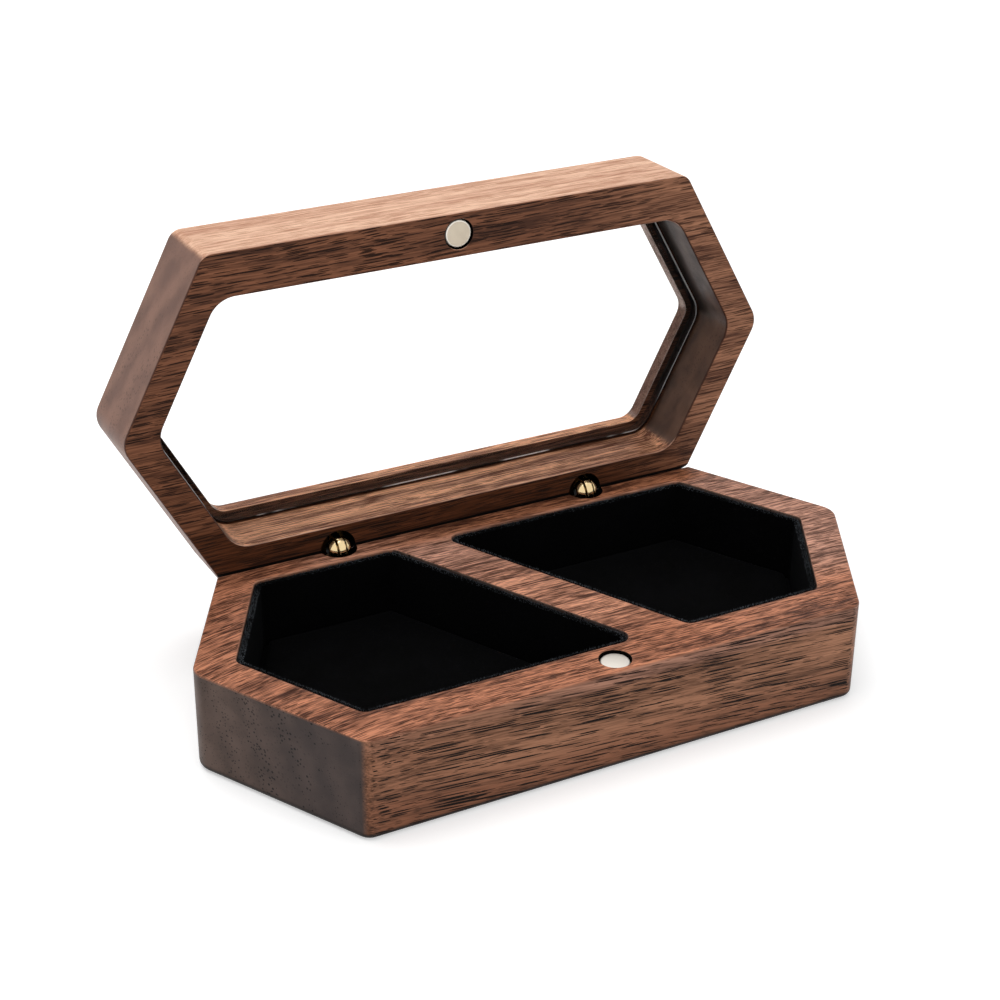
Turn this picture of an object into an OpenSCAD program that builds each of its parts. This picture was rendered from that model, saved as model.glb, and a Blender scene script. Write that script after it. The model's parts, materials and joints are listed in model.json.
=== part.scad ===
// Double ring display box: a six-sided walnut base with two velvet-lined pockets
// and a windowed walnut lid on two concealed barrel hinges, shown open.
// Origin at the centre of the underside, +X along the length, -Y at the front, +Z up.

/* [Box] */
// Length between the two end points of the six-sided outline, before rounding
tip_span = 120; // [112:0.5:150]
// Length of the straight front and rear sides, before rounding
front_length = 88.2; // [78:0.1:98]
// Depth from the front side to the rear side
box_depth = 58.8; // [54:0.1:75]
// Radius of the six upright corners
corner_radius = 4; // [2:0.1:5.5]
// Height of the base
base_height = 17.8; // [16.5:0.1:26]
// Thickness of the lid
lid_height = 15.3; // [14:0.1:22]
// Gap between the lid's rim and the base's top when the box is shut
joint_gap = 0.15; // [0.05:0.01:0.3]
// Width of the eased edge along the base's underside
bottom_ease = 1; // [0.4:0.1:2]
// Width of the eased edge along the lid's outer face
lid_ease = 0.8; // [0.4:0.1:2]
// Width of the eased edges where base and lid meet
rim_ease = 0.3; // [0.1:0.05:0.6]

/* [Pockets] */
// Wood between a pocket and the front or rear side
long_wall = 7.5; // [7:0.1:9]
// Wood between a pocket and the slanted end sides
end_wall = 6.35; // [5:0.05:8]
// Thickness of the slanted bar between the pockets
bar_thickness = 8.2; // [6:0.1:11]
// Lean of the bar away from the box's depth, in degrees
bar_lean = 27.4; // [15:0.1:35]
// Depth of the pockets
pocket_depth = 13; // [10:0.1:14]
// Radius of the pockets' upright corners
pocket_corner = 2; // [1.4:0.1:3]

/* [Lining] */
// Thickness of the velvet on the pocket walls
velvet_thickness = 0.8; // [0.4:0.05:1]
// Height from the velvet's upper edge to the base's top
velvet_drop = 0.5; // [0.2:0.05:1.5]
// Clearance round each piece of the lining
lining_clearance = 0.2; // [0.1:0.05:0.3]
// Thickness of the velvet floor pad
pad_thickness = 1.8; // [1:0.1:3]
// Thickness of the card under the floor pad
card_thickness = 1; // [0.5:0.1:1.5]

/* [Window] */
// Wood between the window and the lid's front or rear side
window_long_wall = 7.6; // [7:0.1:9]
// Wood between the window and the lid's slanted end sides
window_end_wall = 5.2; // [4.5:0.1:8]
// Radius of the window's corners
window_corner = 5; // [3:0.1:6]
// Width of the lip that carries the pane
lip_width = 1.6; // [1:0.1:2.5]
// Thickness of the lip
lip_thickness = 2.9; // [2:0.1:4]
// Thickness of the clear pane
pane_thickness = 3; // [1.5:0.1:3.5]
// Clearance round the pane
pane_clearance = 0.2; // [0.1:0.05:0.4]

/* [Magnets] */
// Diameter of the disc magnets
magnet_diameter = 5; // [4:0.1:5.5]
// Thickness of the disc magnets
magnet_thickness = 2; // [1.5:0.1:3]
// Bevel round the magnets' edges
magnet_bevel = 0.25; // [0.1:0.05:0.4]
// Distance from the front side to the magnets' centres
magnet_inset = 3.65; // [3.4:0.05:4.5]
// Clearance round a magnet in its hole
magnet_clearance = 0.12; // [0.05:0.01:0.2]
// Depth of the base magnet's face below the base's top
magnet_recess = 0.3; // [0.1:0.05:0.5]
// Depth of the lid magnet's face behind the lid's rim
lid_magnet_recess = 0.05; // [0.02:0.01:0.3]

/* [Hinges] */
// Distance between the two hinges
hinge_spacing = 48.2; // [30:0.1:70]
// Distance from the rear side to the hinge axis
hinge_inset = 3.4; // [3.3:0.05:4]
// Diameter of the hinge barrels
barrel_diameter = 5; // [4.8:0.1:5.2]
// Length of a hinge barrel
barrel_length = 8; // [6.5:0.1:9]
// Distance from the hinge axis to a barrel's end
barrel_setback = 2.8; // [2.75:0.05:3.2]
// Bevel round a barrel's end
barrel_bevel = 0.3; // [0.1:0.05:0.4]
// Clearance between a barrel and the wood
barrel_clearance = 0.03; // [0.02:0.01:0.06]
// Diameter of the relief at a hinge hole's mouth
mouth_diameter = 6.4; // [6:0.1:6.6]
// Diameter of the rounded knuckle that the three leaves form
knuckle_diameter = 4.4; // [4.2:0.1:4.6]
// Thickness of the middle leaf, which the lid's barrel carries
middle_leaf = 1.5; // [1.2:0.05:1.6]
// Thickness of each outer leaf, which the base's barrel carries
outer_leaf = 1.2; // [1:0.05:1.25]
// Running clearance between neighbouring leaves
leaf_gap = 0.05; // [0.03:0.01:0.08]
// Length of a leaf inside its barrel
leaf_reach = 4.8; // [4:0.1:5.5]
// Diameter of the pivot pin
pivot_diameter = 1.2; // [0.8:0.05:1.4]
// Running clearance of the middle leaf on the pivot pin
pivot_clearance = 0.04; // [0.02:0.01:0.08]
// Diameter of the pins that hold the leaves in the barrels
leaf_pin_diameter = 1; // [0.6:0.05:1.2]
// Clearance of a pin in a hole that it is pressed into
press_clearance = 0.02; // [0.01:0.01:0.03]
// Angle of the open lid, in degrees
open_angle = 92.5; // [85:0.5:100]
// Free angle left between the two chamfers when the lid is open, in degrees
stop_clearance = 0.1; // [0.05:0.05:0.3]

/* [Hidden] */
$fn = 64;
left = -1;
right = 1;
walnut = "#6f4632";
velvet = "#0b0b0d";
brass = "#d8b25a";
nickel = "#d5cfc2";
steel = "#b9bcc0";
// Extra length of every cut beyond the surface that it breaks
overcut = 1;
// Height of a rounded corner's arc above the straight sides beside it, so that they cross cleanly
arc_stand = 0.002;

half_depth = box_depth / 2;
hinge_y = half_depth - hinge_inset;
magnet_y = magnet_inset - half_depth;
hinge_z = base_height + joint_gap / 2;
lid_rim = base_height + joint_gap;
lid_top = lid_rim + lid_height;
pocket_floor = base_height - pocket_depth;
pad_floor = pocket_floor + card_thickness;
window_ledge = lid_top - lip_thickness;
chamfer_angle = (open_angle + stop_clearance) / 2;
barrel_radius = barrel_diameter / 2;
mouth_radius = mouth_diameter / 2;
knuckle_radius = knuckle_diameter / 2;
leaf_end = barrel_setback + leaf_reach;
leaf_pin_drop = barrel_setback + leaf_reach / 2;
outer_leaf_start = middle_leaf / 2 + leaf_gap;
stack_half = outer_leaf_start + outer_leaf;

// Six-sided outline with its long sides and its slanted sides set in by the given walls
function hexagon(long_inset, end_inset) =
    let (
        run = (tip_span - front_length) / 2,
        slant = atan(run / half_depth),
        tip = tip_span / 2 - end_inset / cos(slant),
        y = half_depth - long_inset,
        x = tip - y * tan(slant)
    )
    [[tip, 0], [x, y], [-x, y], [-tip, 0], [-x, -y], [x, -y]];

// Outline of the left pocket; the right one is the same turned by half a turn
function pocket_outline() =
    let (
        wall = hexagon(long_wall, end_wall),
        y = wall[1].y,
        bar_x = bar_thickness / 2 / cos(bar_lean),
        lean_x = y * tan(bar_lean)
    )
    [[-bar_x - lean_x, y], wall[2], wall[3], wall[4], [lean_x - bar_x, -y]];

// Direction that each side of an anticlockwise outline faces, in degrees
function facing(points) =
    [for (i = [0:len(points) - 1])
        let (side = points[(i + 1) % len(points)] - points[i])
        atan2(side.y, side.x) - 90];

// Outline with every side moved inwards by a distance
function inset(points, distance) =
    let (count = len(points), angles = facing(points))
    [for (i = [0:count - 1])
        let (
            before = angles[(i + count - 1) % count],
            after = angles[i],
            half_turn = (after - before + 720) % 360 / 2,
            middle = before + half_turn
        )
        points[i] - distance / cos(half_turn) * [cos(middle), sin(middle)]];

// Flat outline with rounded corners
module rounded_outline(points, radius) {
    centres = inset(points, radius);
    angles = facing(points);
    count = len(points);
    polygon([for (i = [0:count - 1]) for (a = [angles[(i + count - 1) % count], angles[i]])
        centres[i] + (radius - arc_stand) * [cos(a), sin(a)]]);
    for (centre = centres) translate(centre) circle(radius);
}

module rounded_prism(points, radius, low, high) {
    translate([0, 0, low]) linear_extrude(high - low) rounded_outline(points, radius);
}

// Bevel of the given width cut off every lower edge of an outline that stands on z = 0
module ease_edges(points, width) {
    angles = facing(points);
    for (i = [0:len(points) - 1]) {
        side = points[i] * [cos(angles[i]), sin(angles[i])];
        rotate([0, 0, angles[i]]) rotate([90, 0, 0])
            translate([side, 0, -tip_span / 2]) linear_extrude(tip_span) polygon([
                [-width - overcut, -overcut],
                [overcut, -overcut],
                [overcut, width + overcut]
            ]);
    }
}

// Six-sided block with rounded upright corners and eased edges at both ends
module outer_block(low, high, low_ease, high_ease) {
    outline = hexagon(0, 0);
    difference() {
        rounded_prism(outline, corner_radius, low, high);
        translate([0, 0, low]) ease_edges(outline, low_ease);
        translate([0, 0, high]) mirror([0, 0, 1]) ease_edges(outline, high_ease);
    }
}

// Turns a piece of the shut lid to its open place
module opened() {
    translate([0, hinge_y, hinge_z]) rotate([-open_angle, 0, 0])
        translate([0, -hinge_y, -hinge_z]) children();
}

// Half a hinge stands on the hinge axis and points down; the lid's half is its mirror image
module at_hinge(side) {
    translate([side * hinge_spacing / 2, hinge_y, hinge_z]) children();
}

module in_lid_half() {
    mirror([0, 0, 1]) children();
}

// Wood taken off behind the hinge axis so that the lid can turn past upright
module rear_chamfer() {
    reach = hinge_inset + overcut;
    translate([-tip_span / 2, hinge_y, hinge_z]) rotate([90, 0, 90]) linear_extrude(tip_span)
        polygon([[0, 0], [reach, -reach * tan(chamfer_angle)], [reach, overcut], [0, overcut]]);
}

// Holes for one half of both hinges
module hinge_holes() {
    for (side = [left, right]) at_hinge(side) {
        translate([0, 0, -barrel_setback - barrel_length])
            cylinder(r = barrel_radius + barrel_clearance, h = barrel_setback + barrel_length);
        translate([0, 0, -barrel_setback])
            cylinder(r = mouth_radius, h = barrel_setback + overcut);
    }
}

module magnet_hole(face, depth) {
    translate([0, magnet_y, face - depth])
        cylinder(r = magnet_diameter / 2 + magnet_clearance, h = depth + overcut);
}

module base_block() {
    color(walnut) difference() {
        outer_block(0, base_height, bottom_ease, rim_ease);
        for (turn = [0, 180]) rotate([0, 0, turn])
            rounded_prism(pocket_outline(), pocket_corner, pocket_floor, base_height + overcut);
        rear_chamfer();
        hinge_holes();
        magnet_hole(base_height, magnet_recess + magnet_thickness);
    }
}

// The lid is drawn shut; its holes and chamfer mirror the base's across the hinge axis
module lid_frame() {
    window = hexagon(window_long_wall, window_end_wall);
    color(walnut) opened() difference() {
        outer_block(lid_rim, lid_top, rim_ease, lid_ease);
        rounded_prism(window, window_corner, lid_rim - overcut, window_ledge);
        rounded_prism(inset(window, lip_width), window_corner - lip_width,
            lid_rim - overcut, lid_top + overcut);
        translate([0, 0, 2 * hinge_z]) in_lid_half() {
            rear_chamfer();
            hinge_holes();
            magnet_hole(base_height, lid_magnet_recess + magnet_thickness);
        }
    }
}

module window_pane() {
    window = hexagon(window_long_wall, window_end_wall);
    color("#e8f2f4", 0.3) opened()
        rounded_prism(inset(window, pane_clearance), window_corner - pane_clearance,
            window_ledge - pane_thickness, window_ledge);
}

// Outline of a pocket on one side, set in by a distance
module pocket_inset(side, distance) {
    rotate([0, 0, side == left ? 0 : 180])
        rounded_outline(inset(pocket_outline(), distance), pocket_corner - distance);
}

module wall_liner(side) {
    color(velvet) translate([0, 0, pocket_floor])
        linear_extrude(pocket_depth - velvet_drop) difference() {
            pocket_inset(side, lining_clearance);
            pocket_inset(side, lining_clearance + velvet_thickness);
        }
}

// Floor pieces lie inside the wall liner, with the same clearance round them
module floor_layer(side, low, thickness) {
    translate([0, 0, low]) linear_extrude(thickness)
        pocket_inset(side, 2 * lining_clearance + velvet_thickness);
}

module floor_pad(side) {
    color(velvet) floor_layer(side, pad_floor, pad_thickness);
}

module floor_card(side) {
    color("#8b857a") floor_layer(side, pocket_floor, card_thickness);
}

module disc_magnet() {
    radius = magnet_diameter / 2;
    color(nickel) rotate_extrude() polygon([
        [0, 0],
        [radius - magnet_bevel, 0],
        [radius, magnet_bevel],
        [radius, magnet_thickness - magnet_bevel],
        [radius - magnet_bevel, magnet_thickness],
        [0, magnet_thickness]
    ]);
}

module base_magnet() {
    translate([0, magnet_y, base_height - magnet_recess - magnet_thickness]) disc_magnet();
}

module lid_magnet() {
    opened() translate([0, magnet_y, lid_rim + lid_magnet_recess]) disc_magnet();
}

// Slab between two places along the hinge axis, tall enough to cut a whole barrel
module hinge_slab(low_x, high_x) {
    span = barrel_diameter + 2 * overcut;
    translate([low_x, -span / 2, -leaf_end]) cube([high_x - low_x, span, leaf_end + span]);
}

module pin_along_axis(diameter, half_length, drop) {
    translate([-half_length, 0, -drop]) rotate([0, 90, 0]) cylinder(d = diameter, h = 2 * half_length);
}

module barrel() {
    translate([0, 0, -barrel_setback - barrel_length]) rotate_extrude() polygon([
        [0, 0],
        [barrel_radius - barrel_bevel, 0],
        [barrel_radius, barrel_bevel],
        [barrel_radius, barrel_length - barrel_bevel],
        [barrel_radius - barrel_bevel, barrel_length],
        [0, barrel_length]
    ]);
}

// Round post with a ball end on the hinge axis, from which every leaf is sliced
module knuckle_post() {
    sphere(r = knuckle_radius);
    translate([0, 0, -leaf_end]) cylinder(r = knuckle_radius, h = leaf_end);
}

module base_barrel(side) {
    color(brass) at_hinge(side) difference() {
        barrel();
        for (end = [left, right]) scale([end, 1, 1])
            hinge_slab(outer_leaf_start - press_clearance, stack_half + press_clearance);
        pin_along_axis(leaf_pin_diameter + 2 * press_clearance, barrel_diameter, leaf_pin_drop);
    }
}

module lid_barrel(side) {
    color(brass) opened() at_hinge(side) in_lid_half() difference() {
        barrel();
        hinge_slab(-middle_leaf / 2 - press_clearance, middle_leaf / 2 + press_clearance);
        pin_along_axis(leaf_pin_diameter + 2 * press_clearance, barrel_diameter, leaf_pin_drop);
    }
}

module outer_leaves(side) {
    color(brass) at_hinge(side) difference() {
        intersection() {
            knuckle_post();
            for (end = [left, right]) scale([end, 1, 1])
                hinge_slab(outer_leaf_start, stack_half);
        }
        pin_along_axis(pivot_diameter + 2 * press_clearance, barrel_diameter, 0);
        pin_along_axis(leaf_pin_diameter + 2 * press_clearance, barrel_diameter, leaf_pin_drop);
    }
}

module middle_leaf_plate(side) {
    color(brass) opened() at_hinge(side) in_lid_half() difference() {
        intersection() {
            knuckle_post();
            hinge_slab(-middle_leaf / 2, middle_leaf / 2);
        }
        pin_along_axis(pivot_diameter + 2 * pivot_clearance, barrel_diameter, 0);
        pin_along_axis(leaf_pin_diameter + 2 * press_clearance, barrel_diameter, leaf_pin_drop);
    }
}

module pivot_pin(side) {
    color(steel) at_hinge(side) pin_along_axis(pivot_diameter, stack_half, 0);
}

// The leaf pins end inside the barrel's round side
module leaf_pin() {
    half_length = sqrt(pow(barrel_radius, 2) - pow(leaf_pin_diameter / 2, 2));
    color(steel) pin_along_axis(leaf_pin_diameter, half_length, leaf_pin_drop);
}

module base_leaf_pin(side) {
    at_hinge(side) leaf_pin();
}

module lid_leaf_pin(side) {
    opened() at_hinge(side) in_lid_half() leaf_pin();
}

base_block();
lid_frame();
window_pane();
wall_liner(left);  // left_wall_liner
wall_liner(right);  // right_wall_liner
floor_pad(left);  // left_floor_pad
floor_pad(right);  // right_floor_pad
floor_card(left);  // left_floor_card
floor_card(right);  // right_floor_card
base_magnet();
lid_magnet();
base_barrel(left);  // left_base_barrel
base_barrel(right);  // right_base_barrel
lid_barrel(left);  // left_lid_barrel
lid_barrel(right);  // right_lid_barrel
outer_leaves(left);  // left_outer_leaves
outer_leaves(right);  // right_outer_leaves
middle_leaf_plate(left);  // left_middle_leaf
middle_leaf_plate(right);  // right_middle_leaf
pivot_pin(left);  // left_pivot_pin
pivot_pin(right);  // right_pivot_pin
base_leaf_pin(left);  // left_base_leaf_pin
base_leaf_pin(right);  // right_base_leaf_pin
lid_leaf_pin(left);  // left_lid_leaf_pin
lid_leaf_pin(right);  // right_lid_leaf_pin
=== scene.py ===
import json
import math
import random

import bmesh
import bpy
from mathutils import Matrix, Vector


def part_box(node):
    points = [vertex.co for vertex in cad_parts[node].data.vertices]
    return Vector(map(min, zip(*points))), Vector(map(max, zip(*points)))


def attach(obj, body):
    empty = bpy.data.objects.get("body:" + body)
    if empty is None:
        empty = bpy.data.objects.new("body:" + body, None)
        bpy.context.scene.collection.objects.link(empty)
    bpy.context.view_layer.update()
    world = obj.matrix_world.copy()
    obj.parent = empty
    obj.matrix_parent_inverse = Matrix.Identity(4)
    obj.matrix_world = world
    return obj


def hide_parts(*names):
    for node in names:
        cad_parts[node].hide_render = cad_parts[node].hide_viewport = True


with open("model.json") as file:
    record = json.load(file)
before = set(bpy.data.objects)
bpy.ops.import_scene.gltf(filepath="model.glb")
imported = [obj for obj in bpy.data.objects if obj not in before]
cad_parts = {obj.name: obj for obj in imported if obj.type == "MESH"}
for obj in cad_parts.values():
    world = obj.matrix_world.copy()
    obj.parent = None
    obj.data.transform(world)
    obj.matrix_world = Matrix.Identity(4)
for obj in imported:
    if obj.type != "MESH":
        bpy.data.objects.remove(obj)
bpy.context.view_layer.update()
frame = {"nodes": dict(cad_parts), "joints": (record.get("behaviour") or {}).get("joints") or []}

# The pieces are modelled in millimetres, and each mesh is brought to metres when it is finished
MM = 0.001

# Six-sided box
TIP_SPAN = 120.0
FRONT_LENGTH = 88.2
BOX_DEPTH = 58.8
TIP_RADIUS = 4.0
SIDE_CORNER_RADIUS = 2.6
BASE_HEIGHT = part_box("base_block")[1].z / MM
LID_HEIGHT = 15.3
UNDERSIDE_ROUND = 1.2
LID_FACE_ROUND = 0.9
RIM_ROUND = 0.3
MOUTH_ROUND = 0.3
# Width of the painted highlight along the pocket mouths
MOUTH_HIGHLIGHT_BAND = 0.3
CHAMFER_RELIEF = 0.15
CORNER_STEPS = 14
EDGE_STEPS = 5
ROUND_STEPS = 64

# How far a cast runs on past the face that it cuts
CUT_PAST = 1.0

# Hinge axis and the lid's travel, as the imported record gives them
LID_HINGE = frame["joints"][0]
HINGE_Y, HINGE_Z = (c / MM for c in LID_HINGE["pos_m"][1:])
OPEN_ANGLE = math.radians(LID_HINGE["range_deg"][1])
STOP_CLEARANCE = math.radians(0.1)
LID_RIM = 2 * HINGE_Z - BASE_HEIGHT
LID_TOP = LID_RIM + LID_HEIGHT

# Pockets and their lining
LONG_WALL = 7.5
END_WALL = 6.35
BAR_THICKNESS = 8.2
BAR_LEAN = math.radians(27.4)
POCKET_DEPTH = 13.0
POCKET_FLOOR = BASE_HEIGHT - POCKET_DEPTH
POCKET_CORNER = 2.0
VELVET_THICKNESS = 0.8
VELVET_DROP = 0.3
VELVET_FOLD = 0.36
LINING_CLEARANCE = 0.2
CARD_THICKNESS = 1.0
PAD_THICKNESS = 1.8
PAD_EDGE_ROUND = 0.3
PAD_FACE_ROUND = 0.5
PAD_SWELL = 0.4
PAD_VOXEL = 0.5
PAD_PRESSURE = 4
PAD_FRAMES = 20

# Pile that stands along the edge of the velvet
NAP_REACH = 0.45
NAP_PER_MM2 = 22
NAP_HEIGHT = (0.18, 0.42)
NAP_RADIUS = 0.035
# How strongly each tuft strays, rises and leans away from the velvet under it
NAP_STRAY = 0.35
NAP_RISE = 0.7
NAP_LEAN = 0.8

# Window
WINDOW_LONG_WALL = 7.6
WINDOW_END_WALL = 5.2
WINDOW_CORNER = 5.0
LIP_WIDTH = 1.6
LIP_THICKNESS = 2.9
WINDOW_LEDGE = LID_TOP - LIP_THICKNESS
PANE_THICKNESS = 3.0
PANE_CLEARANCE = 0.2
PANE_BEVEL = 0.4

# Magnets
MAGNET_RADIUS = 2.4
MAGNET_THICKNESS = 2.0
MAGNET_BEVEL = 0.32
MAGNET_STEPS = 96
MAGNET_INSET = 3.65
MAGNET_Y = MAGNET_INSET - BOX_DEPTH / 2
MAGNET_CLEARANCE = 0.24
MAGNET_HOLE_EASE = 0.05
MAGNET_RECESS = 0.4
LID_MAGNET_RECESS = 0.2

# Hinges
HINGE_SPACING = 48.2
HINGE_X = HINGE_SPACING / 2
BARREL_RADIUS = 2.5
BARREL_LENGTH = 8.0
BARREL_SETBACK = 2.8
BARREL_CLEARANCE = 0.03
HOLE_MOUTH_RADIUS = 3.2
KNUCKLE_RADIUS = 2.2
LEAF_TAIL = 4.8
LEAF_END = BARREL_SETBACK + LEAF_TAIL
MIDDLE_LEAF = 1.5
OUTER_LEAF = 1.2
LEAF_GAP = 0.05
LEAF_EDGE = 0.16
LEAF_RELIEF = 0.12
LEAF_STEPS = 72
PIVOT_HOLE_RADIUS = 0.62
PIVOT_HOLE_STEPS = 32

# Growth rings of the walnut, and the wider bands that its end grain shows
RING_SPACING = 5.2
BAND_SPACING = 6.5

UP = Vector((0, 0, 1))


# Outlines, as lists of flat points that run anticlockwise

def hexagon(long_inset, end_inset):
    """Six-sided outline with its long sides and its slanted sides set in by the given walls."""
    slant = math.atan((TIP_SPAN - FRONT_LENGTH) / BOX_DEPTH)
    tip = TIP_SPAN / 2 - end_inset / math.cos(slant)
    y = BOX_DEPTH / 2 - long_inset
    x = tip - y * math.tan(slant)
    return [Vector(p) for p in ((tip, 0), (x, y), (-x, y), (-tip, 0), (-x, -y), (x, -y))]


def pocket_outline(side):
    """Outline of the left (-1) or right (1) pocket; each is the other turned by half a turn."""
    wall = hexagon(LONG_WALL, END_WALL)
    y = wall[1].y
    bar_x = BAR_THICKNESS / 2 / math.cos(BAR_LEAN)
    lean_x = y * math.tan(BAR_LEAN)
    left = [Vector((-bar_x - lean_x, y)), wall[2], wall[3], wall[4], Vector((lean_x - bar_x, -y))]
    return [-side * p for p in left]


def direction(angle):
    return Vector((math.cos(angle), math.sin(angle)))


def facing(points):
    """Direction that each side of an outline faces."""
    sides = [b - a for a, b in zip(points, points[1:] + points[:1])]
    return [math.atan2(side.y, side.x) - math.pi / 2 for side in sides]


def inset(points, distance):
    """Outline with every side moved inwards by a distance."""
    ways = facing(points)
    moved = []
    for i, point in enumerate(points):
        half_turn = (ways[i] - ways[i - 1]) % math.tau / 2
        moved.append(point - distance / math.cos(half_turn) * direction(ways[i - 1] + half_turn))
    return moved


# Solids

def ring(bm, points, radius, z):
    """Loop of edges round an outline, each of its corners an arc that is spun from its first point.

    radius is one for all the corners, or a list with one for each."""
    radii = radius if isinstance(radius, list) else [radius] * len(points)
    ways = facing(points)
    arcs = []
    known = set(bm.edges)
    for i, radius in enumerate(radii):
        centre = inset(points, radius)[i]
        turn = (ways[i] - ways[i - 1]) % math.tau
        first = bm.verts.new((*(centre + radius * direction(ways[i - 1])), z))
        spun = bmesh.ops.spin(bm, geom=[first], cent=(*centre, z), axis=UP, angle=turn, steps=CORNER_STEPS)
        arcs.append((first, spun["geom_last"][0]))
    for (_, last), (first, _) in zip(arcs, arcs[1:] + arcs[:1]):
        bm.edges.new((last, first))
    return [edge for edge in bm.edges if edge not in known]


def pull(bm, face, vec):
    """Extrudes one flat face of a solid along vec and gives its new end."""
    joined = any(len(edge.link_faces) > 1 for edge in face.edges)
    grown = bmesh.ops.extrude_face_region(bm, geom=[face])["geom"]
    end = next(g for g in grown if isinstance(g, bmesh.types.BMFace))
    bmesh.ops.translate(bm, verts=end.verts, vec=vec)
    if joined:
        bmesh.ops.delete(bm, geom=[face], context="FACES_ONLY")
    return end


def step_in(bm, face, inwards, rise):
    """Insets a flat face and lifts what is left of it, which makes one band of a rounded edge."""
    bmesh.ops.inset_region(bm, faces=[face], thickness=inwards, use_even_offset=True, use_boundary=True)
    bmesh.ops.translate(bm, verts=face.verts, vec=(0, 0, rise))


def round_off(bm, face, radius, way, hollow=False):
    """Ends a solid in a rounded edge, or in the hollow flare whose cast is a rounded mouth."""
    steps = [math.pi / 2 * k / EDGE_STEPS for k in range(EDGE_STEPS + 1)]
    for a, b in zip(steps, steps[1:]):
        level, upright = math.cos(a) - math.cos(b), math.sin(b) - math.sin(a)
        if hollow:
            level, upright = upright, level
        step_in(bm, face, radius * level, way * radius * upright)


def column(points, radius, low, high, low_round=0.0, high_round=0.0):
    """Upright solid on a rounded outline, with its lower and upper edges rounded."""
    bm = bmesh.new()
    bottom = bmesh.ops.edgeloop_fill(bm, edges=ring(bm, points, radius, low + low_round))["faces"][0]
    top = pull(bm, bottom, UP * (high - high_round - low - low_round))
    if low_round:
        round_off(bm, bottom, low_round, -1)
    if high_round:
        round_off(bm, top, high_round, 1)
    return bm


def mouth_cutter(points, radius, floor, mouth):
    """Cast of a hollow that runs from its floor to its rounded mouth, and on past the mouth.

    The rounding starts a seam's height beyond the mouth, so that no face of the cast lies in the rim."""
    way = 1 if mouth > floor else -1
    seam = 0.002
    bm = bmesh.new()
    grown = ring(bm, inset(points, -MOUTH_ROUND), radius + MOUTH_ROUND, mouth + way * CUT_PAST)
    end = bmesh.ops.edgeloop_fill(bm, edges=grown)["faces"][0]
    end = pull(bm, end, UP * way * (seam - CUT_PAST))
    round_off(bm, end, MOUTH_ROUND, -way, hollow=True)
    pull(bm, end, UP * (floor - mouth - way * (seam - MOUTH_ROUND)))
    return bm


def lathe(profile, steps=ROUND_STEPS):
    """Round solid spun from a profile of (radius, height) points that starts and ends on the Z axis."""
    bm = bmesh.new()
    verts = [bm.verts.new((radius, 0, z)) for radius, z in profile]
    edges = [bm.edges.new(pair) for pair in zip(verts, verts[1:])]
    bmesh.ops.spin(
        bm, geom=verts + edges, cent=(0, 0, 0), axis=UP, angle=math.tau, steps=steps, use_merge=True)
    bmesh.ops.remove_doubles(bm, verts=bm.verts, dist=1e-5)
    return bm


def arc(centre, radius, start, end, steps):
    """Points of an arc in a profile, with its angles in degrees."""
    turns = [math.radians(start + (end - start) * k / steps) for k in range(steps + 1)]
    return [(centre[0] + radius * math.cos(t), centre[1] + radius * math.sin(t)) for t in turns]


def slice_off(bm, place, way):
    """Cuts off what lies beyond a plane and closes the cut; gives the new flat face."""
    cut = bmesh.ops.bisect_plane(
        bm, geom=bm.verts[:] + bm.edges[:] + bm.faces[:], plane_co=place, plane_no=way, clear_outer=True)
    edges = [g for g in cut["geom_cut"] if isinstance(g, bmesh.types.BMEdge)]
    return bmesh.ops.edgeloop_fill(bm, edges=edges)["faces"][0]


# Places

def mirror_to_lid():
    """Base's side of the hinge axis to the shut lid's side."""
    return Matrix.Translation((0, 0, 2 * HINGE_Z)) @ Matrix.Diagonal((1, 1, -1, 1))


def opened():
    """Shut lid to open lid."""
    axis = Matrix.Translation((0, HINGE_Y, HINGE_Z))
    return axis @ Matrix.Rotation(-OPEN_ANGLE, 4, "X") @ axis.inverted()


def place(bm, matrix):
    """Puts a solid in its place, its faces outwards."""
    bmesh.ops.transform(bm, matrix=matrix, verts=bm.verts)
    bmesh.ops.recalc_face_normals(bm, faces=bm.faces)
    return bm


def put_down(bm, name):
    """Makes a piece of a solid, still in millimetres."""
    bmesh.ops.recalc_face_normals(bm, faces=bm.faces)
    mesh = bpy.data.meshes.new(name)
    bm.to_mesh(mesh)
    bm.free()
    piece = bpy.data.objects.new(name, mesh)
    bpy.context.scene.collection.objects.link(piece)
    return piece


def settle(piece):
    """Applies a piece's modifiers to its mesh."""
    bpy.context.view_layer.update()
    before = piece.data
    piece.data = bpy.data.meshes.new_from_object(piece.evaluated_get(bpy.context.evaluated_depsgraph_get()))
    piece.data.name = piece.name
    piece.modifiers.clear()
    bpy.data.meshes.remove(before)


def carve(piece, cutters):
    """Takes casts out of a piece."""
    tools = [put_down(cutter, "cast") for cutter in cutters]
    for tool in tools:
        cut = piece.modifiers.new("cut", "BOOLEAN")
        cut.operation = "DIFFERENCE"
        cut.solver = "EXACT"
        cut.object = tool
    settle(piece)
    for tool in tools:
        spare = tool.data
        bpy.data.objects.remove(tool)
        bpy.data.meshes.remove(spare)


def finish_piece(piece, body, replaced, materials, crisp=40):
    """Brings a piece to metres, shades it, dresses it and ties it to its body."""
    piece.data.transform(Matrix.Scale(MM, 4))
    piece.data.shade_smooth()
    piece.data.set_sharp_from_angle(angle=math.radians(crisp))
    evened = piece.modifiers.new("flat faces stay flat", "WEIGHTED_NORMAL")
    evened.keep_sharp = True
    for material in materials:
        piece.data.materials.append(material)
    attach(piece, body)
    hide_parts(*replaced)


# Materials

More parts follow.
